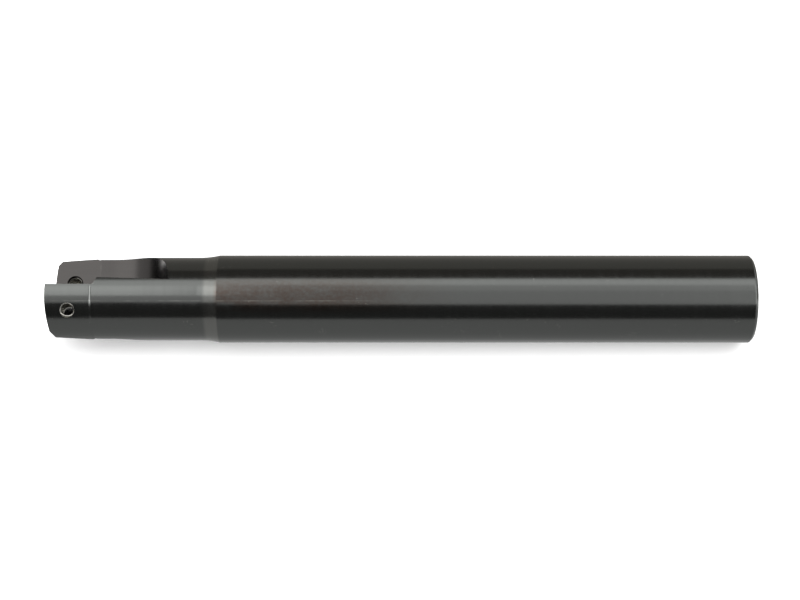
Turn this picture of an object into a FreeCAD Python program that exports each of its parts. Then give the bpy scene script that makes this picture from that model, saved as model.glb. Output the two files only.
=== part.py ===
import FreeCAD, Part
import Sketcher
import math
import os

# Body of a two-tooth indexable end mill, without its inserts and screws.
# Millimetres. Z runs along the tool axis. The origin is the centre of the
# shank's end face, and the tool stands on that face with its head at the top.
# The seat of the first tooth lies on the +X side and faces -Y; the second
# tooth is the same one turned half a turn about Z.

C = Sketcher.Constraint
V = FreeCAD.Vector

doc = FreeCAD.newDocument("end_mill")

# Driving dimensions, one row each: alias, value, note.
SIZES = [
    ("total_length", 200.0, "over the head and the shank"),
    ("shank_radius", 12.5, "ground clamping shank"),
    ("shank_length", 151.8, "from the end face to the foot of the cone"),
    ("end_chamfer", 0.8, "edge of the shank end"),
    ("cone_length", 3.1, "cone between shank and neck"),
    ("neck_radius", 11.85, "relieved neck"),
    ("head_radius", 12.08, "head around the insert seats"),
    ("front_arc", 66.0, "radius of the front's crown, seen along Y"),
    ("corner_start", 10.4, "where the front's outer corner is cut off"),
    ("corner_size", 1.3, "size of that cut"),
    ("ring_back", 13.15, "front face to the foot of the ring bevel"),
    ("ring_bevel", 0.85, "length of the ring bevel"),
    ("pocket_length", 13.4, "insert seat from the front face"),
    ("pocket_wall", 2.27, "side wall of the seat, from the axis plane"),
    ("seat_depth", 3.6, "seat behind the axis plane at the front"),
    ("seat_rise", 1.9, "how much the seat rises over its length"),
    ("gullet_wall", 4.35, "side wall of the chip space at its head end"),
    ("wall_lean", 1.7, "lean of that wall towards the axis, in degrees"),
    ("gullet_floor", 1.5, "flat floor of the chip space"),
    ("gullet_flat_end", 17.0, "front face to the start of the run-out arc"),
    ("gullet_arc", 18.8, "radius of the run-out arc"),
    ("step_length", 1.1, "slanted step between the two side walls"),
    ("screw_radius", 2.0, "screw hole, size over the thread"),
    ("screw_across", 4.8, "screw hole on the seat, from the axis plane"),
    ("screw_back", 5.9, "screw hole on the seat, from the front face"),
    ("screw_lean", 1.5, "lean of the screw hole away from the wall, in degrees"),
    ("screw_tilt", 3.3, "tilt of the screw hole towards the shank, in degrees"),
    ("sink_radius", 2.5, "countersunk mouth of the screw hole"),
    ("sink_depth", 0.5, "depth of that mouth below the seat"),
]

sheet = doc.addObject("Spreadsheet::Sheet", "sizes")
sheet.Label = "sizes"
for row, (alias, value, note) in enumerate(SIZES, start=1):
    sheet.set("A%d" % row, alias)
    sheet.set("B%d" % row, "%g" % value)
    sheet.set("C%d" % row, note)
    sheet.setAlias("B%d" % row, alias)
doc.recompute()


def origin_part(body, role):
    """Plane or axis of the body's own origin."""
    for feature in body.Origin.OriginFeatures:
        if feature.Role == role:
            return feature
    raise ValueError(role)


def make_sketch(body, name, role):
    """Sketch lying on one of the body's origin planes."""
    sketch = body.newObject("Sketcher::SketchObject", name)
    sketch.AttachmentSupport = [(origin_part(body, role), "")]
    sketch.MapMode = "FlatFace"
    return sketch


def closed_outline(sketch, points, round_sides=()):
    """Closed chain of lines. Neighbours are joined, and every corner is
    placed by its two distances from the sketch's origin.

    points holds (u, v, u_formula, v_formula), all of them from the sheet.
    The sides numbered in round_sides are arcs centred on the v axis.
    """
    count = len(points)
    for i in range(count):
        u1, v1 = points[i][:2]
        u2, v2 = points[(i + 1) % count][:2]
        if i in round_sides:
            mid = (u2 * u2 + v2 * v2 - u1 * u1 - v1 * v1) / (2.0 * (v2 - v1))
            circle = Part.Circle(V(0, mid, 0), V(0, 0, 1), math.hypot(u1, v1 - mid))
            start = math.atan2(v1 - mid, u1)
            end = math.atan2(v2 - mid, u2)
            sketch.addGeometry(Part.ArcOfCircle(circle, start, end), False)
        else:
            sketch.addGeometry(Part.LineSegment(V(u1, v1, 0), V(u2, v2, 0)), False)
    for i in range(count):
        sketch.addConstraint(C("Coincident", i, 2, (i + 1) % count, 1))
    for i in round_sides:
        sketch.addConstraint(C("PointOnObject", i, 3, -2))
    for i in range(count):
        u, v, u_formula, v_formula = points[i]
        for kind, place, formula in (("DistanceX", u, u_formula), ("DistanceY", v, v_formula)):
            index = sketch.addConstraint(C(kind, -1, 1, i, 1, place))
            name = "%s_%d" % ("u" if kind == "DistanceX" else "v", i)
            sketch.renameConstraint(index, name)
            sketch.setExpression("Constraints." + name, formula)


def size(alias):
    """Present value of one driving dimension."""
    return float(sheet.get(alias))


body = doc.addObject("PartDesign::Body", "cutter_body")
body.Label = "cutter_body"

# Turned blank: half section in the XZ plane, revolved about Z.
L = size("total_length")
blank = make_sketch(body, "turned_outline", "XZ_Plane")
closed_outline(blank, [
    (0.0, 0.0, "0 mm", "0 mm"),
    (size("shank_radius") - size("end_chamfer"), 0.0,
     "(sizes.shank_radius - sizes.end_chamfer) * 1 mm", "0 mm"),
    (size("shank_radius"), size("end_chamfer"),
     "sizes.shank_radius * 1 mm", "sizes.end_chamfer * 1 mm"),
    (size("shank_radius"), size("shank_length"),
     "sizes.shank_radius * 1 mm", "sizes.shank_length * 1 mm"),
    (size("neck_radius"), size("shank_length") + size("cone_length"),
     "sizes.neck_radius * 1 mm", "(sizes.shank_length + sizes.cone_length) * 1 mm"),
    (size("neck_radius"), L - size("ring_back"),
     "sizes.neck_radius * 1 mm", "(sizes.total_length - sizes.ring_back) * 1 mm"),
    (size("head_radius"), L - size("ring_back") + size("ring_bevel"),
     "sizes.head_radius * 1 mm",
     "(sizes.total_length - sizes.ring_back + sizes.ring_bevel) * 1 mm"),
    (size("head_radius"), L, "sizes.head_radius * 1 mm", "sizes.total_length * 1 mm"),
    (0.0, L, "0 mm", "sizes.total_length * 1 mm"),
], round_sides=(5,))
turned = body.newObject("PartDesign::Revolution", "turned_blank")
turned.Profile = blank
turned.ReferenceAxis = (blank, ["V_Axis"])
turned.Angle = 360.0
doc.recompute()
volumes = [("turned blank", body.Shape.Volume)]


def cut_along(name, sketch, reverse):
    """Pocket of one tooth, from its sketch plane out through the side."""
    cut = body.newObject("PartDesign::Pocket", name)
    cut.Profile = sketch
    cut.Type = 0
    cut.Length = 2.0 * size("shank_radius")
    cut.Reversed = reverse
    cut.setExpression("Length", "2 * sizes.shank_radius * 1 mm")
    doc.recompute()
    volumes.append((name, body.Shape.Volume))
    return cut


def signed(sign, formula):
    """Formula in millimetres, turned round for the second tooth."""
    return "%d * (%s) * 1 mm" % (sign, formula)


def crown_half(sign, tag):
    """Half of the front's crown: the front falls along an arc about Y from
    the middle to its outer corner, which is cut off. Here u is X and v is Z.
    """
    sketch = make_sketch(body, "crown_outline_" + tag, "XZ_Plane")
    arc_r = size("front_arc")
    side = sign * size("corner_start")
    fall = arc_r - math.sqrt(arc_r ** 2 - side ** 2)
    low = L - fall
    cut = size("corner_size")
    far = sign * (size("corner_start") + 2.0 * cut)
    chain = [(0.0, L), (side, low), (far, low - 2.0 * cut), (far, L + 2.0), (0.0, L + 2.0)]
    corners = [V(u, v, 0) for u, v in chain]
    circle = Part.Circle(V(0, L - arc_r, 0), V(0, 0, 1), arc_r)
    angle = math.asin(abs(side) / arc_r)
    quarter = math.pi / 2.0
    if sign > 0:
        arc = Part.ArcOfCircle(circle, quarter - angle, quarter)
    else:
        arc = Part.ArcOfCircle(circle, quarter, quarter + angle)
    middle, outer = {1: (2, 1), -1: (1, 2)}[sign]
    sketch.addGeometry(arc, False)
    for i in (1, 2, 3, 4):
        sketch.addGeometry(Part.LineSegment(corners[i], corners[(i + 1) % 5]), False)
    for joint in ((0, outer, 1, 1), (1, 2, 2, 1), (2, 2, 3, 1), (3, 2, 4, 1),
                  (4, 2, 0, middle)):
        sketch.addConstraint(C("Coincident", *joint))
    sketch.addConstraint(C("Vertical", 2))
    sketch.addConstraint(C("Horizontal", 3))
    sketch.addConstraint(C("Vertical", 4))
    sketch.addConstraint(C("PointOnObject", 0, 3, -2))
    drop = "(sizes.front_arc - sqrt(sizes.front_arc ^ 2 - sizes.corner_start ^ 2))"
    driven = [
        ("middle_u", C("PointOnObject", 0, middle, -2), None),
        ("middle_v", C("DistanceY", -1, 1, 0, middle, L), "sizes.total_length * 1 mm"),
        ("outer_u", C("DistanceX", -1, 1, 0, outer, side),
         signed(sign, "sizes.corner_start")),
        ("outer_v", C("DistanceY", -1, 1, 0, outer, low),
         "(sizes.total_length - %s) * 1 mm" % drop),
        ("far_u", C("DistanceX", -1, 1, 1, 2, far),
         signed(sign, "sizes.corner_start + 2 * sizes.corner_size")),
        ("far_v", C("DistanceY", -1, 1, 1, 2, low - 2.0 * cut),
         "(sizes.total_length - %s - 2 * sizes.corner_size) * 1 mm" % drop),
        ("top_v", C("DistanceY", -1, 1, 2, 2, L + 2.0),
         "(sizes.total_length + 2) * 1 mm"),
    ]
    for name, constraint, formula in driven:
        index = sketch.addConstraint(constraint)
        if formula is not None:
            sketch.renameConstraint(index, name)
            sketch.setExpression("Constraints." + name, formula)
    cut = body.newObject("PartDesign::Pocket", "crown_" + tag)
    cut.Profile = sketch
    cut.Type = 0
    cut.SideType = "Symmetric"
    cut.Length = 4.0 * size("shank_radius")
    cut.setExpression("Length", "4 * sizes.shank_radius * 1 mm")
    doc.recompute()
    volumes.append(("crown_" + tag, body.Shape.Volume))


SLOPE = "sizes.seat_rise / sizes.pocket_length"
BACK = "sizes.total_length - sizes.pocket_length"


# Place of the chip space's side wall: it leans towards the axis on the way to
# the shank, about a line at the rear of the insert pocket.
WALL = (
    "placement(vector(0 mm; 0 mm; %d * (sizes.gullet_wall - "
    "tan(sizes.wall_lean * 1 deg) * (" + BACK + ")) * 1 mm); "
    "rotation(vector(1; 0; 0); %d * sizes.wall_lean * 1 deg))"
)


def gullet(sign, tag):
    """Chip space behind the seat: a flat floor, then an arc that runs out
    of the neck. The outline lies in a plane parallel to YZ, at the side
    wall. In that sketch u is Y and v is Z.
    """
    sketch = make_sketch(body, "gullet_outline_" + tag, "YZ_Plane")
    sketch.AttachmentOffset = FreeCAD.Placement(V(0, 0, 0), FreeCAD.Rotation(V(1, 0, 0), 1.0))
    sketch.setExpression("AttachmentOffset", WALL % (sign, sign))
    floor = sign * size("gullet_floor")
    far = -2.0 * sign * size("shank_radius")
    arc_r = size("gullet_arc")
    z_top = L - size("pocket_length") + 0.4
    z_flat = L - size("gullet_flat_end")
    z_out = z_flat - arc_r
    mid = floor - sign * arc_r
    chain = [(far, z_top), (floor, z_top), (floor, z_flat), (mid, z_out), (far, z_out)]
    corners = [V(u, v, 0) for u, v in chain]
    circle = Part.Circle(V(mid, z_flat, 0), V(0, 0, 1), arc_r)
    if sign > 0:
        arc = Part.ArcOfCircle(circle, -math.pi / 2.0, 0.0)
    else:
        arc = Part.ArcOfCircle(circle, math.pi, 1.5 * math.pi)
    near_end, far_end = {1: (2, 1), -1: (1, 2)}[sign]
    sketch.addGeometry(Part.LineSegment(corners[0], corners[1]), False)
    sketch.addGeometry(Part.LineSegment(corners[1], corners[2]), False)
    sketch.addGeometry(arc, False)
    sketch.addGeometry(Part.LineSegment(corners[3], corners[4]), False)
    sketch.addGeometry(Part.LineSegment(corners[4], corners[0]), False)
    for joint in ((0, 2, 1, 1), (1, 2, 2, near_end), (2, far_end, 3, 1),
                  (3, 2, 4, 1), (4, 2, 0, 1)):
        sketch.addConstraint(C("Coincident", *joint))
    sketch.addConstraint(C("Horizontal", 0))
    sketch.addConstraint(C("Vertical", 1))
    sketch.addConstraint(C("Horizontal", 3))
    sketch.addConstraint(C("Vertical", 4))
    flat = "(sizes.total_length - sizes.gullet_flat_end) * 1 mm"
    driven = [
        ("top_v", C("DistanceY", -1, 1, 0, 1, z_top), "(%s + 0.4) * 1 mm" % BACK),
        ("far_u", C("DistanceX", -1, 1, 0, 1, far),
         signed(-sign, "2 * sizes.shank_radius")),
        ("floor_u", C("DistanceX", -1, 1, 0, 2, floor),
         signed(sign, "sizes.gullet_floor")),
        ("flat_v", C("DistanceY", -1, 1, 1, 2, z_flat), flat),
        ("centre_u", C("DistanceX", -1, 1, 2, 3, mid),
         signed(sign, "sizes.gullet_floor - sizes.gullet_arc")),
        ("centre_v", C("DistanceY", -1, 1, 2, 3, z_flat), flat),
        ("out_u", C("DistanceX", -1, 1, 3, 1, mid),
         signed(sign, "sizes.gullet_floor - sizes.gullet_arc")),
    ]
    for name, constraint, formula in driven:
        index = sketch.addConstraint(constraint)
        sketch.renameConstraint(index, name)
        sketch.setExpression("Constraints." + name, formula)
    cut_along("gullet_" + tag, sketch, sign > 0)


def insert_pocket(sign, tag):
    """Seat of the insert, which rises a little from the front to the rear,
    and the side wall beside it.
    """
    sketch = make_sketch(body, "seat_outline_" + tag, "YZ_Plane")
    sketch.setExpression("AttachmentOffset.Base.z", signed(sign, "sizes.pocket_wall"))
    depth = size("seat_depth")
    rise = size("seat_rise")
    run = size("pocket_length")
    far = -2.0 * size("shank_radius")
    top = "(sizes.total_length + 2) * 1 mm"
    back = "(%s) * 1 mm" % BACK
    closed_outline(sketch, [
        (sign * (depth + 2.0 * rise / run), L + 2.0,
         signed(sign, "sizes.seat_depth + 2 * " + SLOPE), top),
        (sign * (depth - rise), L - run,
         signed(sign, "sizes.seat_depth - sizes.seat_rise"), back),
        (sign * far, L - run, signed(-sign, "2 * sizes.shank_radius"), back),
        (sign * far, L + 2.0, signed(-sign, "2 * sizes.shank_radius"), top),
    ])
    cut_along("insert_pocket_" + tag, sketch, sign > 0)


def slanted_step(sign, tag):
    """Slanted step between the side wall of the pocket and that of the chip
    space, cut down to the chip space's floor. Here u is X and v is Z.
    """
    sketch = make_sketch(body, "step_outline_" + tag, "XZ_Plane")
    sketch.setExpression("AttachmentOffset.Base.z", signed(-sign, "sizes.gullet_floor"))
    inner = sign * size("pocket_wall")
    outer = sign * size("gullet_wall")
    past = sign * (size("gullet_wall") + 1.0)
    back = L - size("pocket_length")
    step = size("step_length")
    over = "(%s + 0.3) * 1 mm" % BACK
    under = "(%s - sizes.step_length) * 1 mm" % BACK
    closed_outline(sketch, [
        (inner, back + 0.3, signed(sign, "sizes.pocket_wall"), over),
        (inner, back, signed(sign, "sizes.pocket_wall"), "(%s) * 1 mm" % BACK),
        (outer, back - step, signed(sign, "sizes.gullet_wall"), under),
        (past, back - step, signed(sign, "sizes.gullet_wall + 1"), under),
        (past, back + 0.3, signed(sign, "sizes.gullet_wall + 1"), over),
    ])
    cut_along("slanted_step_" + tag, sketch, sign > 0)


# Screw hole through a tooth. It leans away from the side wall and tilts
# towards the shank, and its mouth is countersunk square to the seat. The
# cutters start a little above the seat. A cutter's own axis is laid along the
# hole by its turn about Z and then its tilt about X.
PLACE = (
    "placement(vector(%d * sizes.screw_across * 1 mm; "
    "%d * (sizes.seat_depth - " + SLOPE + " * sizes.screw_back - 0.05) * 1 mm; "
    "(sizes.total_length - sizes.screw_back) * 1 mm); "
    "rotation(%d deg - %s; 0 deg; -90 deg - %s))"
)


def round_cut(kind, name, sign, lean, tilt, settings):
    """Round cutter on one tooth's screw hole, turned by lean and tilt."""
    turn = 0 if sign > 0 else 180
    cut = body.newObject("PartDesign::" + kind, name)
    for key, formula in settings.items():
        cut.setExpression(key, formula)
    cut.setExpression("Placement", PLACE % (sign, sign, turn, lean, tilt))
    doc.recompute()
    volumes.append((name, body.Shape.Volume))
    return cut


def screw_hole(sign, tag):
    """Screw hole of one tooth and its countersunk mouth."""
    lean, tilt = "sizes.screw_lean * 1 deg", "sizes.screw_tilt * 1 deg"
    round_cut("SubtractiveCylinder", "screw_hole_" + tag, sign, lean, tilt, {
        "Radius": "sizes.screw_radius * 1 mm",
        "Height": "2 * sizes.shank_radius * 1 mm"})
    square = "atan(" + SLOPE + ")"
    round_cut("SubtractiveCone", "screw_mouth_" + tag, sign, "0 deg", square, {
        "Radius1": "sizes.sink_radius * 1 mm",
        "Radius2": "(sizes.screw_radius - 0.3) * 1 mm",
        "Height": "(sizes.sink_depth + 0.05) * (sizes.sink_radius - sizes.screw_radius + 0.3)"
                  " / (sizes.sink_radius - sizes.screw_radius) * 1 mm"})


# The two teeth are one design, half a turn apart.
for sign, tag in ((1, "first"), (-1, "second")):
    crown_half(sign, tag)
    gullet(sign, tag)
    insert_pocket(sign, tag)
    slanted_step(sign, tag)
    screw_hole(sign, tag)

PARTS = [body]

for name, volume in volumes:
    print("%-22s %12.2f mm3" % (name, volume))
previous = None
for name, volume in volumes:
    if previous is not None and volume > previous - 0.5:
        raise RuntimeError("no material removed by " + name)
    previous = volume

for item in doc.Objects:
    if "Invalid" in item.State or "Error" in item.State:
        raise RuntimeError("failed object: " + item.Name)

os.makedirs("parts", exist_ok=True)
for item in PARTS:
    shape = item.Shape
    if shape.isNull() or not shape.isValid():
        raise RuntimeError("bad shape: " + item.Label)
    if len(shape.Solids) != 1:
        raise RuntimeError("not one solid: " + item.Label)
    shape.exportStep(os.path.join("parts", item.Label + ".step"))
    box = shape.BoundBox
    print("%s volume %.1f box %.2f %.2f %.2f to %.2f %.2f %.2f"
          % (item.Label, shape.Volume, box.XMin, box.YMin, box.ZMin,
             box.XMax, box.YMax, box.ZMax))
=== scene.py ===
import math

import bmesh
import bpy
from bpy.props import FloatProperty, FloatVectorProperty, IntProperty, PointerProperty
from mathutils import Matrix, Vector


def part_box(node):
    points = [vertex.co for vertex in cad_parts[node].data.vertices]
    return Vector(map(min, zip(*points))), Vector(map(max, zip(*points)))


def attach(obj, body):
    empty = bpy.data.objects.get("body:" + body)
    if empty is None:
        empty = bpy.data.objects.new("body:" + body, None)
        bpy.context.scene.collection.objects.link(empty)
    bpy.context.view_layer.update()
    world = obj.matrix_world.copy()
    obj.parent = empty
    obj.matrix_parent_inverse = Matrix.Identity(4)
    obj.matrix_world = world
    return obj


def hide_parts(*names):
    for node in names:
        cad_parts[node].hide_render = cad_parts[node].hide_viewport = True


bl_info = {
    "name": "Indexable End Mill",
    "version": (1, 0, 0),
    "blender": (4, 5, 0),
    "location": "View3D > Sidebar > End Mill",
    "description": "Blackened end mill body with bare insert seats",
    "category": "Object",
}

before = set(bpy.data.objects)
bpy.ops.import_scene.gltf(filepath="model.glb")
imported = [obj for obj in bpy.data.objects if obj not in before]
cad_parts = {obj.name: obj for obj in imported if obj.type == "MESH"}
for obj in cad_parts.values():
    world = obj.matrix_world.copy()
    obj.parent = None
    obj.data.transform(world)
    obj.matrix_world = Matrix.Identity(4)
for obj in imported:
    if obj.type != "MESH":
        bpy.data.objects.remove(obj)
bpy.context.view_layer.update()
BODY_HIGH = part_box("cutter_body")[1]

# How far the cuts run past the front, into each other and above the seat.
PAST_FRONT = 0.002
GULLET_OVERLAP = 0.0004
STEP_OVERLAP = 0.0003
STEP_PAST_WALL = 0.001
ABOVE_SEAT = 0.00005
MOUTH_OVERLAP = 0.0003

# Stretches that the front's crown and the run-out arc are drawn with.
CROWN_STEPS = 32
ARC_STEPS = 64

# Shares of the ring bevel where its slope starts and ends, and of the cone
# that its hollow rounding takes.
RING_FOOT = 0.2
RING_TOP = 0.75
CONE_ROUND = 0.85

# Thread ridge: start below the mouth, place into the wall, length, and the
# least steel between it and the land.
THREAD_START = 0.0001
THREAD_INTO_WALL = 0.00006
THREAD_LENGTH = 0.0078
THREAD_COVER = 0.00012

# Wear: where along the shank the brown starts and is full, and where across
# the axis it starts and is full on either side. Then the share of bare steel
# that lightens the cone as a painted highlight, and the place, ends, edges and
# strength of the hairline.
BROWN_ALONG = (0.080, 0.125)
BROWN_LOWER_SIDE = (-0.005, -0.002)
BROWN_UPPER_SIDE = (0.0085, 0.001)
# Painted highlight: share of bare steel mixed into the cone's colour.
CONE_HIGHLIGHT = 0.11
HAIR_SIDE = -0.0005
HAIR_ALONG = (0.098, 0.130)
HAIR_WIDTH = (0.00016, 0.00006)
HAIR_RUB = 0.16
EDGE_WEAR_RADIUS = 0.00028

# Long lights: name, angles from the view towards the top of the picture in
# degrees, lower and upper end along the tool, radiance.
LIGHT_REACH = 0.60
LIGHT_STRIPS = (
    ("key_strip", 37.0, 53.5, -0.5, 0.9, 1.00),
    ("soft_strip", 22.0, 37.0, -0.5, 0.9, 0.25),
    ("head_strip", 10.0, 37.0, 0.22, 0.9, 1.45),
    ("tail_strip", -14.0, 40.0, -0.8, -0.22, 4.0))

# Cards round the tool: name, angles, lower and upper end as above, colour.
CARD_REACH = 0.45
ROUND_CARDS = (
    ("front_card", -53.0, -14.0, -0.32, 0.48, (0.09, 0.09, 0.09)),
    ("head_card", -15.0, -9.0, 0.20, 0.48, (0.06, 0.06, 0.06)),
    ("top_card", 55.5, 85.0, -0.32, 0.48, (0.15, 0.14, 0.13)),
    ("rear_card", 85.0, 134.0, -0.32, 0.48, (0.35, 0.335, 0.31)))

# Cards that lie on the table: name, middle across, along and off the table,
# half sizes, finish.
TABLE_CARDS = (
    ("behind_card", (0.158, -0.10, 0.001), 0.15, 0.195, "rear_card"),
    ("before_card", (-0.132, 0.0, 0.001), 0.126, 0.30, "before_card"),
    ("contact_shade", (0.0055, 0.0835, 0.0003), 0.0045, 0.0058, "contact_shade"),
    ("beyond_card", (0.022, 0.236, 0.0015), 0.06, 0.076, "end_card"))

# White table: clear of the tool, middle along it, shift across, half sizes.
TABLE_GAP = 0.0001
TABLE_MIDDLE = 0.11
TABLE_SHIFT = -0.03
TABLE_HALF = (0.23, 0.30)
PAPER_GLOW = 0.30
SKY_ON_MATTE = 0.9

# Level card beyond the head, which lies on the far side of the axis.
END_CARD_TOWARDS_CAMERA = -0.19
END_CARD_HEIGHT = 0.62
END_CARD_HALF = 0.25

# Light just off the table beyond the head, for the end of the gullet.
GULLET_LAMP_SIZE = (0.044, 0.07)
GULLET_LAMP_PLACE = (0.022, 0.122, 0.002)
GULLET_LAMP_RADIANCE = 1.8


# Sizes and colours that a user would change.

class EndMillSizes(bpy.types.PropertyGroup):
    total_length: FloatProperty(
        name="Overall length", description="From the shank end to the front face",
        default=BODY_HIGH.z, unit="LENGTH")
    shank_radius: FloatProperty(
        name="Shank radius", description="Radius of the ground shank",
        default=BODY_HIGH.x, unit="LENGTH")
    shank_length: FloatProperty(
        name="Shank length", description="From the end to the cone",
        default=0.1518, unit="LENGTH")
    end_chamfer: FloatProperty(
        name="End chamfer", description="Chamfer of the shank end",
        default=0.0008, unit="LENGTH")
    cone_length: FloatProperty(
        name="Cone length", description="Cone between shank and neck",
        default=0.0031, unit="LENGTH")
    neck_radius: FloatProperty(
        name="Neck radius", description="Radius of the relieved neck",
        default=0.01185, unit="LENGTH")
    head_radius: FloatProperty(
        name="Head radius", description="Radius around the insert seats",
        default=0.01208, unit="LENGTH")
    front_arc: FloatProperty(
        name="Front arc", description="Radius of the front's crown",
        default=0.066, unit="LENGTH")
    corner_start: FloatProperty(
        name="Corner start", description="Where the front's corner is cut off",
        default=0.0104, unit="LENGTH")
    corner_size: FloatProperty(
        name="Corner size", description="Size of that cut",
        default=0.0013, unit="LENGTH")
    ring_back: FloatProperty(
        name="Ring place", description="Front face to the foot of the ring bevel",
        default=0.01315, unit="LENGTH")
    ring_bevel: FloatProperty(
        name="Ring bevel", description="Length of the ring bevel",
        default=0.00085, unit="LENGTH")
    pocket_length: FloatProperty(
        name="Seat length", description="Insert seat from the front face",
        default=0.0134, unit="LENGTH")
    pocket_wall: FloatProperty(
        name="Seat wall", description="Side wall of the seat from the axis plane",
        default=0.00227, unit="LENGTH")
    seat_depth: FloatProperty(
        name="Seat depth", description="Seat behind the axis plane at the front",
        default=0.0036, unit="LENGTH")
    seat_rise: FloatProperty(
        name="Seat rise", description="How much the seat rises over its length",
        default=0.0019, unit="LENGTH")
    gullet_wall: FloatProperty(
        name="Gullet wall", description="Side wall of the chip space at its head end",
        default=0.00435, unit="LENGTH")
    wall_lean: FloatProperty(
        name="Wall lean", description="Lean of that wall towards the axis",
        default=math.radians(1.7), unit="ROTATION")
    gullet_floor: FloatProperty(
        name="Gullet floor", description="Flat floor of the chip space",
        default=0.0015, unit="LENGTH")
    gullet_flat_end: FloatProperty(
        name="Gullet flat end", description="Front face to the run-out arc",
        default=0.0170, unit="LENGTH")
    gullet_arc: FloatProperty(
        name="Gullet arc", description="Radius of the run-out arc",
        default=0.0188, unit="LENGTH")
    step_length: FloatProperty(
        name="Step length", description="Slanted step between the side walls",
        default=0.0011, unit="LENGTH")
    screw_radius: FloatProperty(
        name="Screw hole radius", description="Screw hole over its thread",
        default=0.002, unit="LENGTH")
    screw_across: FloatProperty(
        name="Screw hole across", description="Screw hole from the axis plane",
        default=0.0048, unit="LENGTH")
    screw_back: FloatProperty(
        name="Screw hole back", description="Screw hole from the front face",
        default=0.0059, unit="LENGTH")
    screw_lean: FloatProperty(
        name="Screw hole lean", description="Lean away from the side wall",
        default=math.radians(1.5), unit="ROTATION")
    screw_tilt: FloatProperty(
        name="Screw hole tilt", description="Tilt towards the shank",
        default=math.radians(3.3), unit="ROTATION")
    sink_radius: FloatProperty(
        name="Screw mouth radius", description="Countersunk mouth of the screw hole",
        default=0.0025, unit="LENGTH")
    sink_depth: FloatProperty(
        name="Screw mouth depth", description="Depth of the mouth below the seat",
        default=0.0005, unit="LENGTH")
    thread_pitch: FloatProperty(
        name="Thread pitch", description="Pitch of the screw thread",
        default=0.0007, unit="LENGTH")
    thread_depth: FloatProperty(
        name="Thread depth", description="Height of the thread ridge",
        default=0.00042, unit="LENGTH")
    corner_round: FloatProperty(
        name="Turned corner", description="Rounding of the turned corners",
        default=0.00012, unit="LENGTH")
    edge_break: FloatProperty(
        name="Edge break", description="Width of the broken milled edges",
        default=0.00010, unit="LENGTH")
    facets: IntProperty(
        name="Facets", description="Facets around the body", default=240, min=48)


class EndMillFinish(bpy.types.PropertyGroup):
    oxide: FloatVectorProperty(
        name="Oxide", description="Blackened ground steel",
        subtype="COLOR", default=(0.104, 0.108, 0.104), min=0.0, max=1.0)
    oxide_brown: FloatVectorProperty(
        name="Brown oxide", description="Brownish cast in the blackening",
        subtype="COLOR", default=(0.074, 0.058, 0.049), min=0.0, max=1.0)
    milled: FloatVectorProperty(
        name="Milled oxide", description="Blackened milled seats and gullets",
        subtype="COLOR", default=(0.056, 0.053, 0.051), min=0.0, max=1.0)
    bare: FloatVectorProperty(
        name="Bare steel", description="Rubbed edges, specks and threads",
        subtype="COLOR", default=(0.55, 0.54, 0.50), min=0.0, max=1.0)
    oxide_roughness: FloatProperty(
        name="Ground roughness", description="Roughness of the ground shank",
        default=0.17, min=0.0, max=1.0, subtype="FACTOR")
    milled_roughness: FloatProperty(
        name="Milled roughness", description="Roughness of the milled faces",
        default=0.24, min=0.0, max=1.0, subtype="FACTOR")


class EndMillStage(bpy.types.PropertyGroup):
    view_turn: FloatProperty(
        name="View turn", description="Turn of the camera about the tool axis",
        default=math.radians(10.0), unit="ROTATION")
    distance: FloatProperty(
        name="Camera distance", description="Camera to the tool axis",
        default=0.5, unit="LENGTH")
    lens: FloatProperty(
        name="Lens", description="Focal length in millimetres", default=78.54)
    centre_height: FloatProperty(
        name="Camera height", description="Camera above the shank end",
        default=0.10038, unit="LENGTH")
    centre_shift: FloatProperty(
        name="Camera offset",
        description="Camera from the tool axis, towards the top of the picture",
        default=-0.00026, unit="LENGTH")
    table_turn: FloatProperty(
        name="Table turn", description="Turn of the white table from the view",
        default=math.radians(40.0), unit="ROTATION")
    paper: FloatVectorProperty(
        name="Paper", description="White paper behind the tool",
        subtype="COLOR", default=(0.92, 0.92, 0.92), min=0.0, max=1.0)


def view_axes(view_turn):
    """Directions to the top of the picture and towards the camera."""
    across = Vector((math.cos(view_turn), -math.sin(view_turn), 0))
    towards = Vector((-math.sin(view_turn), -math.cos(view_turn), 0))
    return across, towards


# Mesh work.

def new_object(name, mesh):
    """Linked object at the origin that holds the mesh."""
    made = bpy.data.objects.new(name, mesh)
    bpy.context.scene.collection.objects.link(made)
    return made


def closed_mesh(name, bm, half_turn=False):
    """Mesh with its faces outwards from a finished bmesh, which is freed. It
    may be set half a turn round for the second tooth."""
    if half_turn:
        bmesh.ops.rotate(bm, verts=bm.verts, matrix=Matrix.Rotation(math.pi, 3, "Z"))
    bmesh.ops.recalc_face_normals(bm, faces=bm.faces)
    mesh = bpy.data.meshes.new(name)
    bm.to_mesh(mesh)
    bm.free()
    return mesh


def rounded_corners(points, radius, wide):
    """Half section with its inner corners replaced by small arcs, and the
    corners numbered in wide by arcs of their own size."""
    out = [points[0]]
    for i, (before, corner, after) in enumerate(zip(points, points[1:], points[2:])):
        a = Vector(before) - Vector(corner)
        b = Vector(after) - Vector(corner)
        reach = wide.get(i + 1, min(radius, 0.3 * a.length, 0.3 * b.length))
        steps = 12 if i + 1 in wide else 3
        start = Vector(corner) + a.normalized() * reach
        end = Vector(corner) + b.normalized() * reach
        for step in range(steps + 1):
            t = step / steps
            p = start * (1 - t) ** 2 + Vector(corner) * 2 * t * (1 - t) + end * t ** 2
            out.append((p.x, p.y))
    out.append(points[-1])
    return out


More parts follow.
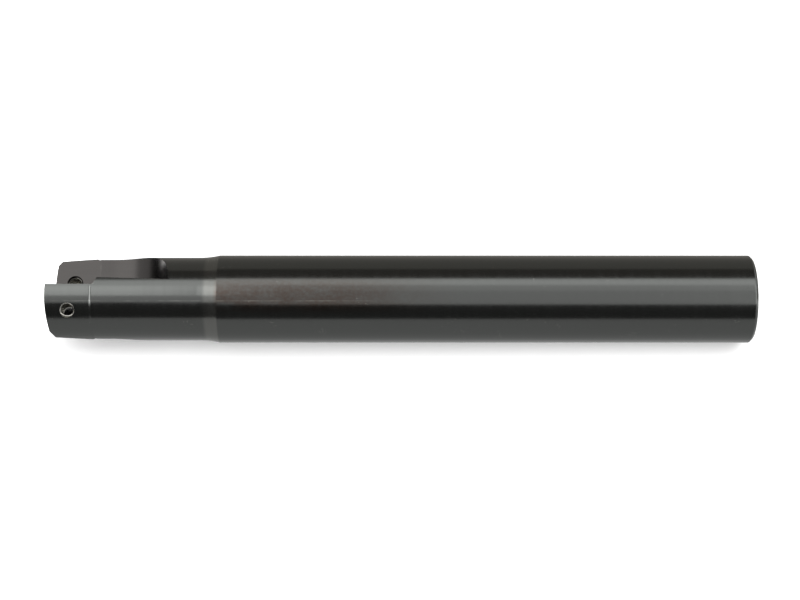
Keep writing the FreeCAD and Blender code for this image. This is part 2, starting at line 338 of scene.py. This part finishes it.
def turned_mesh(name, section, facets):
    """Closed mesh turned about Z from a half section that starts and ends
    on the axis."""
    bm = bmesh.new()
    rings = []
    for r, z in section:
        if r < 1e-7:
            rings.append([bm.verts.new((0, 0, z))])
        else:
            rings.append([bm.verts.new((r * math.cos(2 * math.pi * i / facets),
                                        r * math.sin(2 * math.pi * i / facets), z))
                          for i in range(facets)])
    for low, high in zip(rings, rings[1:]):
        for i in range(facets):
            j = (i + 1) % facets
            if len(low) == 1:
                bm.faces.new((low[0], high[j], high[i]))
            elif len(high) == 1:
                bm.faces.new((low[i], low[j], high[0]))
            else:
                bm.faces.new((low[i], low[j], high[j], high[i]))
    return closed_mesh(name, bm)


def prism_mesh(name, outline, direction, half_turn):
    """Closed prism over a flat outline, drawn out along a direction."""
    bm = bmesh.new()
    base = [bm.verts.new(p) for p in outline]
    top = [bm.verts.new(Vector(p) + Vector(direction)) for p in outline]
    bm.faces.new(base)
    bm.faces.new(top)
    count = len(base)
    for i in range(count):
        j = (i + 1) % count
        bm.faces.new((base[i], base[j], top[j], top[i]))
    return closed_mesh(name, bm, half_turn)


def seat_height(s, back):
    """Y of the first tooth's seat at a distance from the front face."""
    return s.seat_depth - s.seat_rise * back / s.pocket_length


def screw_line(s):
    """Start just above the seat and direction into the steel of the first
    screw."""
    start = Vector((s.screw_across, seat_height(s, s.screw_back) - ABOVE_SEAT,
                    s.total_length - s.screw_back))
    direction = Vector((math.cos(s.screw_tilt) * math.sin(s.screw_lean),
                        math.cos(s.screw_tilt) * math.cos(s.screw_lean),
                        -math.sin(s.screw_tilt)))
    return start, direction


def rod_mesh(name, start, direction, radius, far_radius, length, half_turn, facets=96):
    """Closed cylinder or cone along a direction."""
    bm = bmesh.new()
    bmesh.ops.create_cone(bm, cap_ends=True, segments=facets, radius1=radius,
                          radius2=far_radius, depth=length)
    spin = direction.to_track_quat("Z", "Y").to_matrix().to_4x4()
    place = Matrix.Translation(start + direction * (length / 2)) @ spin
    bmesh.ops.transform(bm, matrix=place, verts=bm.verts)
    return closed_mesh(name, bm, half_turn)


def crown_outline(s, far):
    """Half of the front's crown, with its corner cut off, at one depth."""
    front = s.total_length
    outline = [(0.0, front + PAST_FRONT), (0.0, front)]
    for i in range(1, CROWN_STEPS + 1):
        x = s.corner_start * i / CROWN_STEPS
        outline.append((x, front - s.front_arc + math.sqrt(s.front_arc ** 2 - x * x)))
    x, low = outline[-1]
    beyond = 2.0 * s.corner_size
    outline += [(x + beyond, low - beyond), (x + beyond, front + PAST_FRONT)]
    return [(x, far, v) for x, v in outline]


def chip_outline(s, back, far):
    """Flat floor and run-out arc of the chip space, on its leaning wall."""
    flat = s.total_length - s.gullet_flat_end
    slant = math.tan(s.wall_lean)
    top = back + GULLET_OVERLAP
    outline = [(far, top), (s.gullet_floor, top)]
    for i in range(ARC_STEPS + 1):
        a = -0.5 * math.pi * i / ARC_STEPS
        outline.append((s.gullet_floor - s.gullet_arc + s.gullet_arc * math.cos(a),
                        flat + s.gullet_arc * math.sin(a)))
    outline.append((far, flat - s.gullet_arc))
    return [(s.gullet_wall + (v - back) * slant, y, v) for y, v in outline]


def pocket_outline(s, back, far):
    """Side wall of the insert seat, with the rising seat as its edge."""
    front = s.total_length + PAST_FRONT
    return [(s.pocket_wall, seat_height(s, -PAST_FRONT), front),
            (s.pocket_wall, seat_height(s, s.pocket_length), back),
            (s.pocket_wall, far, back), (s.pocket_wall, far, front)]


def step_outline(s, back):
    """Slanted step that leads the seat's side wall over to the gullet's."""
    top = back + STEP_OVERLAP
    foot = back - s.step_length
    beyond = s.gullet_wall + STEP_PAST_WALL
    outline = [(s.pocket_wall, top), (s.pocket_wall, back), (s.gullet_wall, foot),
               (beyond, foot), (beyond, top)]
    return [(x, s.gullet_floor, v) for x, v in outline]


def tooth_cutters(s, half_turn):
    """Meshes of the cuts that make one tooth: half of the front's crown, chip
    space, insert pocket, slanted step, screw hole and its mouth."""
    wide = 2.0 * s.shank_radius
    back = s.total_length - s.pocket_length
    start, direction = screw_line(s)
    slope = math.atan(s.seat_rise / s.pocket_length)
    square = Vector((0.0, math.cos(slope), -math.sin(slope)))
    cone = (s.sink_depth + ABOVE_SEAT) / (s.sink_radius - s.screw_radius)
    narrow = s.screw_radius - MOUTH_OVERLAP
    return [
        prism_mesh("crown_cut", crown_outline(s, -wide), (0, 2.0 * wide, 0), half_turn),
        prism_mesh("chip_space_cut", chip_outline(s, back, -wide), (wide, 0, 0), half_turn),
        prism_mesh("insert_pocket_cut", pocket_outline(s, back, -wide), (wide, 0, 0),
                   half_turn),
        prism_mesh("slanted_step_cut", step_outline(s, back), (0, -wide, 0), half_turn),
        rod_mesh("screw_hole_cut", start, direction, s.screw_radius, s.screw_radius,
                 wide, half_turn),
        rod_mesh("screw_mouth_cut", start, square, s.sink_radius, narrow,
                 cone * (s.sink_radius - narrow), half_turn),
    ]


def finished_mesh(source, name):
    """Plain mesh of an object with its modifiers worked in."""
    bpy.context.view_layer.update()
    graph = bpy.context.evaluated_depsgraph_get()
    mesh = bpy.data.meshes.new_from_object(source.evaluated_get(graph))
    mesh.name = name
    return mesh


# Node work.

def node_group(name, inputs, outputs):
    """Empty shader node group with named sockets."""
    tree = bpy.data.node_groups.new(name, "ShaderNodeTree")
    for label, kind, value in inputs:
        socket = tree.interface.new_socket(name=label, in_out="INPUT", socket_type=kind)
        if value is not None:
            socket.default_value = value
    for label, kind in outputs:
        tree.interface.new_socket(name=label, in_out="OUTPUT", socket_type=kind)
    return tree, tree.nodes.new("NodeGroupInput"), tree.nodes.new("NodeGroupOutput")


def add(tree, kind, **values):
    """New node with its properties set."""
    node = tree.nodes.new(kind)
    for key, value in values.items():
        setattr(node, key, value)
    return node


def math_node(tree, operation, first, second=None, third=None, clamp=False):
    """Math node whose inputs are sockets or numbers."""
    node = tree.nodes.new("ShaderNodeMath")
    node.operation = operation
    node.use_clamp = clamp
    for i, value in enumerate((first, second, third)):
        if value is None:
            continue
        if isinstance(value, (int, float)):
            node.inputs[i].default_value = value
        else:
            tree.links.new(value, node.inputs[i])
    return node.outputs[0]


def colour_mix(tree, factor, first, second):
    """Mix of two colours by a socket; each colour is a socket or a value."""
    node = tree.nodes.new("ShaderNodeMix")
    node.data_type = "RGBA"
    tree.links.new(factor, node.inputs[0])
    for index, value in ((6, first), (7, second)):
        if isinstance(value, bpy.types.NodeSocket):
            tree.links.new(value, node.inputs[index])
        else:
            node.inputs[index].default_value = (*value, 1.0)
    return node.outputs[2]


def ramp(tree, socket, low, high):
    """Smooth step from low to high."""
    node = tree.nodes.new("ShaderNodeMapRange")
    node.interpolation_type = "SMOOTHSTEP"
    node.inputs[1].default_value = low
    node.inputs[2].default_value = high
    tree.links.new(socket, node.inputs[0])
    return node.outputs[0]


def stretched_noise(tree, vector, scale, noise, detail=2.0, rough=0.5):
    """Noise on coordinates that are stretched along the axes."""
    mapping = add(tree, "ShaderNodeMapping")
    mapping.inputs["Scale"].default_value = scale
    tree.links.new(vector, mapping.inputs["Vector"])
    node = add(tree, "ShaderNodeTexNoise")
    node.inputs["Scale"].default_value = noise
    node.inputs["Detail"].default_value = detail
    node.inputs["Roughness"].default_value = rough
    tree.links.new(mapping.outputs[0], node.inputs["Vector"])
    return node.outputs["Fac"]


def tool_marks_group():
    """Fine lines left by grinding or milling, from stretched noise."""
    tree, given, out = node_group(
        "tool_marks",
        [("Vector", "NodeSocketVector", None), ("Lines", "NodeSocketFloat", 1.0)],
        [("Height", "NodeSocketFloat"), ("Streaks", "NodeSocketFloat")])
    fine = stretched_noise(tree, given.outputs["Vector"], (40, 40, 5200), 1.0, 2.0)
    broad = stretched_noise(tree, given.outputs["Vector"], (60, 60, 900), 1.0, 3.0)
    height = math_node(tree, "MULTIPLY", fine, given.outputs["Lines"])
    tree.links.new(height, out.inputs["Height"])
    tree.links.new(ramp(tree, broad, 0.35, 0.7), out.inputs["Streaks"])
    return tree


def specks_group():
    """Sparse small rubbed specks and scuffs."""
    tree, given, out = node_group(
        "rubbed_specks",
        [("Vector", "NodeSocketVector", None), ("Amount", "NodeSocketFloat", 0.5)],
        [("Mask", "NodeSocketFloat")])
    cells = add(tree, "ShaderNodeTexVoronoi", feature="F1")
    cells.inputs["Scale"].default_value = 1700.0
    tree.links.new(given.outputs["Vector"], cells.inputs["Vector"])
    dots = ramp(tree, math_node(tree, "SUBTRACT", 0.26, cells.outputs["Distance"]), 0.0, 0.12)
    where = stretched_noise(tree, given.outputs["Vector"], (1, 1, 1), 160.0, 3.0, 0.65)
    where = ramp(tree, where, 0.62, 0.72)
    mask = math_node(tree, "MULTIPLY", dots, where)
    mask = math_node(tree, "MULTIPLY", mask, given.outputs["Amount"], clamp=True)
    tree.links.new(mask, out.inputs["Mask"])
    return tree


def edge_wear_group():
    """Rubbed edges: where the rounded normal leaves the true one, broken up
    by noise."""
    tree, given, out = node_group(
        "edge_wear",
        [("Vector", "NodeSocketVector", None), ("Amount", "NodeSocketFloat", 1.0)],
        [("Mask", "NodeSocketFloat")])
    soft = add(tree, "ShaderNodeBevel", samples=6)
    soft.inputs["Radius"].default_value = EDGE_WEAR_RADIUS
    hard = add(tree, "ShaderNodeNewGeometry")
    dot = add(tree, "ShaderNodeVectorMath", operation="DOT_PRODUCT")
    tree.links.new(soft.outputs[0], dot.inputs[0])
    tree.links.new(hard.outputs["Normal"], dot.inputs[1])
    bend = math_node(tree, "SUBTRACT", 1.0, dot.outputs["Value"])
    edge = ramp(tree, bend, 0.02, 0.16)
    broken = stretched_noise(tree, given.outputs["Vector"], (1, 1, 1), 420.0, 4.0, 0.6)
    broken = ramp(tree, broken, 0.34, 0.62)
    mask = math_node(tree, "MULTIPLY", edge, broken)
    mask = math_node(tree, "MULTIPLY", mask, given.outputs["Amount"], clamp=True)
    tree.links.new(mask, out.inputs["Mask"])
    return tree


def patina_group():
    """Brown mottling on one side of the shank, a painted highlight on the cone,
    and the hairline. Side is the distance across the axis, towards the brown."""
    s = bpy.context.scene.end_mill_sizes
    brown_way = view_axes(bpy.context.scene.end_mill_stage.view_turn)[0]
    foot = s.shank_length
    top = s.shank_length + s.cone_length
    tree, given, out = node_group(
        "patina", [("Vector", "NodeSocketVector", None)],
        [("Brown", "NodeSocketFloat"), ("Rubbed", "NodeSocketFloat")])
    vector = given.outputs["Vector"]
    across = add(tree, "ShaderNodeVectorMath", operation="DOT_PRODUCT")
    across.inputs[1].default_value = brown_way
    tree.links.new(vector, across.inputs[0])
    side = across.outputs["Value"]
    along = add(tree, "ShaderNodeSeparateXYZ")
    tree.links.new(vector, along.inputs[0])
    z = along.outputs[2]
    grain = stretched_noise(tree, vector, (1, 1, 0.8), 1500.0, 3.0, 0.7)
    grain = math_node(tree, "MULTIPLY_ADD", ramp(tree, grain, 0.30, 0.62), 0.40, 0.50)
    cloud = stretched_noise(tree, vector, (1, 1, 0.6), 140.0, 4.0, 0.6)
    brown = math_node(tree, "MULTIPLY", ramp(tree, cloud, 0.22, 0.50), grain)
    for value, low, high in ((z, *BROWN_ALONG), (z, foot + 0.0012, foot),
                             (side, *BROWN_LOWER_SIDE), (side, *BROWN_UPPER_SIDE)):
        brown = math_node(tree, "MULTIPLY", brown, ramp(tree, value, low, high))
    tree.links.new(brown, out.inputs["Brown"])
    # Painted highlight: the cone is lightened towards bare steel all round.
    cone = math_node(tree, "MULTIPLY", ramp(tree, z, foot - 0.0002, foot + 0.0003),
                     ramp(tree, z, top + 0.0013, top - 0.0001))
    cone = math_node(tree, "MULTIPLY", cone, CONE_HIGHLIGHT)
    off = math_node(tree, "ABSOLUTE", math_node(tree, "SUBTRACT", side, HAIR_SIDE))
    hair = math_node(tree, "MULTIPLY", ramp(tree, off, *HAIR_WIDTH),
                     ramp(tree, z, *HAIR_ALONG))
    broken = ramp(tree, stretched_noise(tree, vector, (1, 1, 1), 300.0, 3.0), 0.35, 0.65)
    hair = math_node(tree, "MULTIPLY", hair, broken)
    hair = math_node(tree, "MULTIPLY", hair, HAIR_RUB)
    # Rubbed carries the hairline and the painted highlight on the cone.
    tree.links.new(math_node(tree, "MAXIMUM", cone, hair), out.inputs["Rubbed"])
    return tree


def shared_groups():
    """The node groups that the finishes share, built once."""
    makers = {"tool_marks": tool_marks_group, "rubbed_specks": specks_group,
              "edge_wear": edge_wear_group, "patina": patina_group}
    return {name: bpy.data.node_groups.get(name) or make() for name, make in makers.items()}


def use_group(tree, group, vector, **values):
    """The shared group placed in a material with its own values."""
    node = tree.nodes.new("ShaderNodeGroup")
    node.node_tree = group
    tree.links.new(vector, node.inputs["Vector"])
    for key, value in values.items():
        node.inputs[key].default_value = value
    return node


def oxide_steel(name, base, tint, roughness, lines, wear, turn=None, bump=0.012):
    """Blackened steel: a dark metal with tool marks, brown mottling, rubbed
    edges and specks, and a painted highlight on the cone."""
    finish = bpy.context.scene.end_mill_finish
    groups = shared_groups()
    material = bpy.data.materials.new(name)
    material.use_nodes = True
    tree = material.node_tree
    shader = tree.nodes["Principled BSDF"]
    place = add(tree, "ShaderNodeTexCoord")
    vector = place.outputs["Object"]
    lined = vector
    if turn is not None:
        mapping = add(tree, "ShaderNodeMapping")
        mapping.inputs["Rotation"].default_value = turn
        tree.links.new(vector, mapping.inputs["Vector"])
        lined = mapping.outputs[0]
    marks = use_group(tree, groups["tool_marks"], lined, Lines=lines)
    specks = use_group(tree, groups["rubbed_specks"], vector, Amount=wear)
    edges = use_group(tree, groups["edge_wear"], vector, Amount=wear)
    patina = use_group(tree, groups["patina"], vector)
    colour = colour_mix(tree, patina.outputs["Brown"], base, tint)
    # Bare steel where edges and specks are rubbed, and over the cone as a painted highlight.
    wear_and_highlight = math_node(tree, "MAXIMUM", specks.outputs["Mask"], edges.outputs["Mask"])
    wear_and_highlight = math_node(tree, "MAXIMUM", wear_and_highlight, patina.outputs["Rubbed"])
    colour = colour_mix(tree, wear_and_highlight, colour, finish.bare)
    tree.links.new(colour, shader.inputs["Base Color"])
    rough = math_node(tree, "MULTIPLY_ADD", marks.outputs["Streaks"], 0.03, roughness)
    tree.links.new(rough, shader.inputs["Roughness"])
    shader.inputs["Metallic"].default_value = 1.0
    relief = add(tree, "ShaderNodeBump")
    relief.inputs["Strength"].default_value = bump
    relief.inputs["Distance"].default_value = 0.00002
    tree.links.new(marks.outputs["Height"], relief.inputs["Height"])
    tree.links.new(relief.outputs[0], shader.inputs["Normal"])
    return material


# Operators, one for each piece and one for the stage.

class ENDMILL_OT_finishes(bpy.types.Operator):
    """Make the steel finishes"""
    bl_idname = "end_mill.finishes"
    bl_label = "Steel finishes"

    def execute(self, context):
        f = context.scene.end_mill_finish
        oxide_steel("ground_oxide", f.oxide, f.oxide_brown, f.oxide_roughness, 1.0, 0.4)
        oxide_steel("milled_oxide", f.milled, f.oxide_brown, f.milled_roughness,
                    1.0, 0.15, turn=(0, math.radians(90), 0), bump=0.10)
        oxide_steel("thread_steel", f.bare, f.oxide_brown, 0.22, 0.5, 0.8, bump=0.05)
        return {"FINISHED"}


class ENDMILL_OT_cutter_body(bpy.types.Operator):
    """Turn the blank and cut both teeth, with every edge broken"""
    bl_idname = "end_mill.cutter_body"
    bl_label = "Cutter body"

    def execute(self, context):
        s = context.scene.end_mill_sizes
        z = s.total_length
        section = [(0.0, 0.0), (s.shank_radius - s.end_chamfer, 0.0),
                   (s.shank_radius, s.end_chamfer), (s.shank_radius, s.shank_length),
                   (s.neck_radius, s.shank_length + s.cone_length),
                   (s.neck_radius, z - s.ring_back + RING_FOOT * s.ring_bevel),
                   (s.head_radius, z - s.ring_back + RING_TOP * s.ring_bevel),
                   (s.head_radius, z), (0.0, z)]
        section = rounded_corners(section, s.corner_round, {4: CONE_ROUND * s.cone_length})
        blank = new_object("blank", turned_mesh("blank", section, s.facets))
        blank.data.materials.append(bpy.data.materials["ground_oxide"])
        helpers = []
        for half_turn in (False, True):
            for mesh in tooth_cutters(s, half_turn):
                hole = mesh.name.startswith("screw_hole")
                mesh.materials.append(
                    bpy.data.materials["thread_steel" if hole else "milled_oxide"])
                cutter = new_object(mesh.name, mesh)
                helpers.append(cutter)
                cut = blank.modifiers.new(mesh.name, "BOOLEAN")
                cut.operation = "DIFFERENCE"
                cut.solver = "EXACT"
                cut.material_mode = "TRANSFER"
                cut.object = cutter
        mesh = finished_mesh(blank, "tool_body")
        for helper in helpers + [blank]:
            bpy.data.objects.remove(helper)
        bm = bmesh.new()
        bm.from_mesh(mesh)
        bmesh.ops.remove_doubles(bm, verts=bm.verts, dist=2e-6)
        bmesh.ops.dissolve_degenerate(bm, edges=bm.edges, dist=2e-6)
        bm.to_mesh(mesh)
        bm.free()
        piece = new_object("tool_body", mesh)
        edges = piece.modifiers.new("broken_edges", "BEVEL")
        edges.width = s.edge_break
        edges.segments = 2
        edges.limit_method = "ANGLE"
        edges.angle_limit = math.radians(28)
        edges.miter_outer = "MITER_ARC"
        edges.loop_slide = False
        mesh = finished_mesh(piece, "tool_body")
        piece.modifiers.clear()
        piece.data = mesh
        mesh.shade_smooth()
        mesh.set_sharp_from_angle(angle=math.radians(35))
        even = piece.modifiers.new("even_normals", "WEIGHTED_NORMAL")
        even.keep_sharp = True
        even.weight = 100
        piece.data = finished_mesh(piece, "tool_body")
        piece.modifiers.clear()
        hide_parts("cutter_body")
        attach(piece, "root")
        return {"FINISHED"}


def thread_tree():
    """Ridge of a screw thread: a helix with a three-sided section, along Z."""
    tree = bpy.data.node_groups.new("screw_thread", "GeometryNodeTree")
    for label, kind in (
            ("Radius", "NodeSocketFloat"), ("Depth", "NodeSocketFloat"),
            ("Pitch", "NodeSocketFloat"), ("Length", "NodeSocketFloat"),
            ("Finish", "NodeSocketMaterial")):
        tree.interface.new_socket(name=label, in_out="INPUT", socket_type=kind)
    tree.interface.new_socket(name="Geometry", in_out="OUTPUT",
                              socket_type="NodeSocketGeometry")
    given = tree.nodes.new("NodeGroupInput")
    out = tree.nodes.new("NodeGroupOutput")
    turns = math_node(tree, "DIVIDE", given.outputs["Length"], given.outputs["Pitch"])
    helix = tree.nodes.new("GeometryNodeCurveSpiral")
    helix.inputs["Resolution"].default_value = 40
    tree.links.new(turns, helix.inputs["Rotations"])
    tree.links.new(given.outputs["Radius"], helix.inputs["Start Radius"])
    tree.links.new(given.outputs["Radius"], helix.inputs["End Radius"])
    tree.links.new(given.outputs["Length"], helix.inputs["Height"])
    normal = tree.nodes.new("GeometryNodeSetCurveNormal")
    normal.mode = "Z_UP"
    tree.links.new(helix.outputs[0], normal.inputs[0])
    section = tree.nodes.new("GeometryNodeCurvePrimitiveCircle")
    section.mode = "RADIUS"
    section.inputs["Resolution"].default_value = 3
    tree.links.new(given.outputs["Depth"], section.inputs["Radius"])
    sweep = tree.nodes.new("GeometryNodeCurveToMesh")
    sweep.inputs["Fill Caps"].default_value = True
    tree.links.new(normal.outputs[0], sweep.inputs["Curve"])
    tree.links.new(section.outputs[0], sweep.inputs["Profile Curve"])
    realize = tree.nodes.new("GeometryNodeRealizeInstances")
    tree.links.new(sweep.outputs[0], realize.inputs[0])
    paint = tree.nodes.new("GeometryNodeSetMaterial")
    tree.links.new(realize.outputs[0], paint.inputs["Geometry"])
    tree.links.new(given.outputs["Finish"], paint.inputs["Material"])
    tree.links.new(paint.outputs[0], out.inputs["Geometry"])
    return tree


class ENDMILL_OT_screw_threads(bpy.types.Operator):
    """Thread ridges in both screw holes"""
    bl_idname = "end_mill.screw_threads"
    bl_label = "Screw threads"

    def execute(self, context):
        s = context.scene.end_mill_sizes
        tree = bpy.data.node_groups.get("screw_thread") or thread_tree()
        ids = {item.name: item.identifier for item in tree.interface.items_tree
               if item.in_out == "INPUT"}
        start, direction = screw_line(s)
        spin = direction.to_track_quat("Z", "Y").to_matrix().to_4x4()
        first = start + direction * (s.sink_depth + THREAD_START)
        for name, turn in (("thread_first", 0.0), ("thread_second", math.pi)):
            piece = new_object(name, bpy.data.meshes.new(name))
            grow = piece.modifiers.new("thread", "NODES")
            grow.node_group = tree
            grow[ids["Radius"]] = s.screw_radius + THREAD_INTO_WALL
            grow[ids["Depth"]] = s.thread_depth
            grow[ids["Pitch"]] = s.thread_pitch
            grow[ids["Length"]] = THREAD_LENGTH
            grow[ids["Finish"]] = bpy.data.materials["thread_steel"]
            mesh = finished_mesh(piece, name)
            piece.modifiers.clear()
            place = Matrix.Rotation(turn, 4, "Z") @ Matrix.Translation(first) @ spin
            mesh.transform(place)
            limit = s.head_radius - THREAD_COVER
            for vertex in mesh.vertices:
                r = math.hypot(vertex.co.x, vertex.co.y)
                if r > limit:
                    vertex.co.x *= limit / r
                    vertex.co.y *= limit / r
            piece.data = mesh
            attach(piece, "root")
        return {"FINISHED"}


def facing_place(view_turn, angle, reach, middle):
    """Place that faces the tool axis from an angle about it, counted from
    the view direction towards the top of the picture."""
    across, towards = view_axes(view_turn)
    out = towards * math.cos(angle) + across * math.sin(angle)
    side = Vector((0, 0, 1)).cross(out)
    turn = Matrix((side, Vector((0, 0, 1)), out)).transposed().to_4x4()
    return Matrix.Translation(out * reach + Vector((0, 0, middle))) @ turn


def area_light(name, place, width, height, radiance):
    """Rectangular light of an even radiance."""
    light = bpy.data.lights.new(name, "AREA")
    light.shape = "RECTANGLE"
    light.size, light.size_y = width, height
    light.energy = radiance * math.pi * width * height
    made = new_object(name, light)
    made.matrix_world = place
    return made


def sheet(name, place, half_u, half_v, material):
    """Flat sheet of the stage."""
    mesh = bpy.data.meshes.new(name)
    corners = [place @ Vector((a * half_u, b * half_v, 0))
               for a, b in ((-1, -1), (1, -1), (1, 1), (-1, 1))]
    mesh.from_pydata([tuple(c) for c in corners], [], [(0, 1, 2, 3)])
    mesh.materials.append(material)
    made = new_object(name, mesh)


def seen_directly(tree):
    """One for the rays of the camera, of mirrors and of glass, else nought."""
    path = add(tree, "ShaderNodeLightPath")
    seen = path.outputs["Is Camera Ray"]
    for ray in ("Is Glossy Ray", "Is Transmission Ray"):
        seen = math_node(tree, "MAXIMUM", seen, path.outputs[ray])
    return seen


def card_finish(name, colour):
    """Even board of one brightness that only mirrored rays see."""
    material = bpy.data.materials.new(name)
    material.use_nodes = True
    tree = material.node_tree
    tree.nodes.clear()
    out = add(tree, "ShaderNodeOutputMaterial")
    even = add(tree, "ShaderNodeEmission")
    even.inputs["Color"].default_value = (*colour, 1.0)
    clear = add(tree, "ShaderNodeBsdfTransparent")
    path = add(tree, "ShaderNodeLightPath")
    choose = add(tree, "ShaderNodeMixShader")
    tree.links.new(path.outputs["Is Glossy Ray"], choose.inputs[0])
    tree.links.new(clear.outputs[0], choose.inputs[1])
    tree.links.new(even.outputs[0], choose.inputs[2])
    tree.links.new(choose.outputs[0], out.inputs["Surface"])
    return material


def paper_finish(name, colour, strength):
    """Matte paper, with the glow of a white background for the rays that see
    it, and clear from behind."""
    material = bpy.data.materials.new(name)
    material.use_nodes = True
    tree = material.node_tree
    tree.nodes.clear()
    out = add(tree, "ShaderNodeOutputMaterial")
    matte = add(tree, "ShaderNodeBsdfDiffuse")
    matte.inputs["Color"].default_value = (*colour, 1.0)
    glow = add(tree, "ShaderNodeEmission")
    shining = math_node(tree, "MULTIPLY", seen_directly(tree), strength)
    tree.links.new(shining, glow.inputs["Strength"])
    both = add(tree, "ShaderNodeAddShader")
    tree.links.new(matte.outputs[0], both.inputs[0])
    tree.links.new(glow.outputs[0], both.inputs[1])
    clear = add(tree, "ShaderNodeBsdfTransparent")
    facing = add(tree, "ShaderNodeNewGeometry")
    choose = add(tree, "ShaderNodeMixShader")
    tree.links.new(facing.outputs["Backfacing"], choose.inputs[0])
    tree.links.new(both.outputs[0], choose.inputs[1])
    tree.links.new(clear.outputs[0], choose.inputs[2])
    tree.links.new(choose.outputs[0], out.inputs["Surface"])
    return material


def photo_camera(g):
    """Camera of the photograph, with the tool's front to its left."""
    across, towards = view_axes(g.view_turn)
    lens = bpy.data.cameras.new("photo_camera")
    lens.lens = g.lens
    lens.sensor_width = 36.0
    lens.clip_start = 0.01
    camera = new_object("photo_camera", lens)
    spin = Matrix((Vector((0, 0, -1)), across, towards)).transposed().to_4x4()
    at = towards * g.distance + across * g.centre_shift + Vector((0, 0, g.centre_height))
    camera.matrix_world = Matrix.Translation(at) @ spin
    return camera


def set_round_tool(g, low, high, bottom, top, reach):
    """Place and size of what covers the angles from low to high, in degrees,
    and the stretch from bottom to top along the tool."""
    half = math.radians(high - low) / 2.0
    place = facing_place(g.view_turn, math.radians(low) + half, reach, 0.5 * (bottom + top))
    return place, 2.0 * reach * math.tan(half), top - bottom


def studio_world():
    """White surroundings, a little weaker for matte surfaces."""
    world = bpy.data.worlds.new("studio")
    world.use_nodes = True
    tree = world.node_tree
    tree.nodes.clear()
    out = add(tree, "ShaderNodeOutputWorld")
    sky = add(tree, "ShaderNodeBackground")
    sky.inputs["Color"].default_value = (1, 1, 1, 1)
    strength = math_node(tree, "MULTIPLY_ADD", seen_directly(tree), 1.0 - SKY_ON_MATTE,
                         SKY_ON_MATTE)
    tree.links.new(strength, sky.inputs["Strength"])
    tree.links.new(sky.outputs[0], out.inputs["Surface"])
    return world


class ENDMILL_OT_stage(bpy.types.Operator):
    """Camera, white paper, cards, lights and world"""
    bl_idname = "end_mill.stage"
    bl_label = "Stage"

    def execute(self, context):
        g = context.scene.end_mill_stage
        scene = context.scene
        scene.camera = photo_camera(g)
        scene.world = studio_world()
        scene.view_settings.view_transform = "Standard"

        paper = paper_finish("white_paper", g.paper, PAPER_GLOW)
        table = facing_place(g.view_turn, g.table_turn, -(BODY_HIGH.x + TABLE_GAP),
                             TABLE_MIDDLE)
        sheet("table", table @ Matrix.Translation((TABLE_SHIFT, 0, 0)), *TABLE_HALF, paper)

        for name, low, high, bottom, top, radiance in LIGHT_STRIPS:
            area_light(name, *set_round_tool(g, low, high, bottom, top, LIGHT_REACH), radiance)
        finishes = {}
        for name, low, high, bottom, top, colour in ROUND_CARDS:
            place, width, height = set_round_tool(g, low, high, bottom, top, CARD_REACH)
            finishes[name] = card_finish(name, colour)
            sheet(name, place, width / 2.0, height / 2.0, finishes[name])
        finishes["before_card"] = card_finish("before_card", (0.63, 0.63, 0.63))
        finishes["end_card"] = card_finish("end_card", (0.02, 0.02, 0.02))
        finishes["contact_shade"] = paper_finish("contact_shade", (0.004, 0.004, 0.004), 0.0)
        for name, place, half_u, half_v, finish in TABLE_CARDS:
            sheet(name, table @ Matrix.Translation(place), half_u, half_v, finishes[finish])
        middle = view_axes(g.view_turn)[1] * END_CARD_TOWARDS_CAMERA
        middle.z = END_CARD_HEIGHT
        sheet("end_card", Matrix.Translation(middle), END_CARD_HALF, END_CARD_HALF,
              finishes["end_card"])
        lamp = area_light("gullet_lamp", table @ Matrix.Translation(GULLET_LAMP_PLACE),
                          *GULLET_LAMP_SIZE, GULLET_LAMP_RADIANCE)
        lamp.visible_camera = False
        return {"FINISHED"}


class ENDMILL_PT_panel(bpy.types.Panel):
    """Sizes, finishes and steps of the end mill"""
    bl_idname = "ENDMILL_PT_panel"
    bl_label = "End Mill"
    bl_space_type = "VIEW_3D"
    bl_region_type = "UI"
    bl_category = "End Mill"

    def draw(self, context):
        layout = self.layout
        for operator in OPERATORS:
            layout.operator(operator.bl_idname)
        for group in (context.scene.end_mill_sizes, context.scene.end_mill_finish,
                      context.scene.end_mill_stage):
            box = layout.box()
            for key in group.__annotations__:
                box.prop(group, key)


OPERATORS = (ENDMILL_OT_finishes, ENDMILL_OT_cutter_body, ENDMILL_OT_screw_threads,
             ENDMILL_OT_stage)
CLASSES = (EndMillSizes, EndMillFinish, EndMillStage) + OPERATORS + (ENDMILL_PT_panel,)


def register():
    for item in CLASSES:
        bpy.utils.register_class(item)
    bpy.types.Scene.end_mill_sizes = PointerProperty(type=EndMillSizes)
    bpy.types.Scene.end_mill_finish = PointerProperty(type=EndMillFinish)
    bpy.types.Scene.end_mill_stage = PointerProperty(type=EndMillStage)


def unregister():
    del bpy.types.Scene.end_mill_stage
    del bpy.types.Scene.end_mill_finish
    del bpy.types.Scene.end_mill_sizes
    for item in reversed(CLASSES):
        bpy.utils.unregister_class(item)


def main():
    register()
    bpy.ops.end_mill.finishes()
    bpy.ops.end_mill.cutter_body()
    bpy.ops.end_mill.screw_threads()
    bpy.ops.end_mill.stage()


if __name__ == "__main__":
    main()
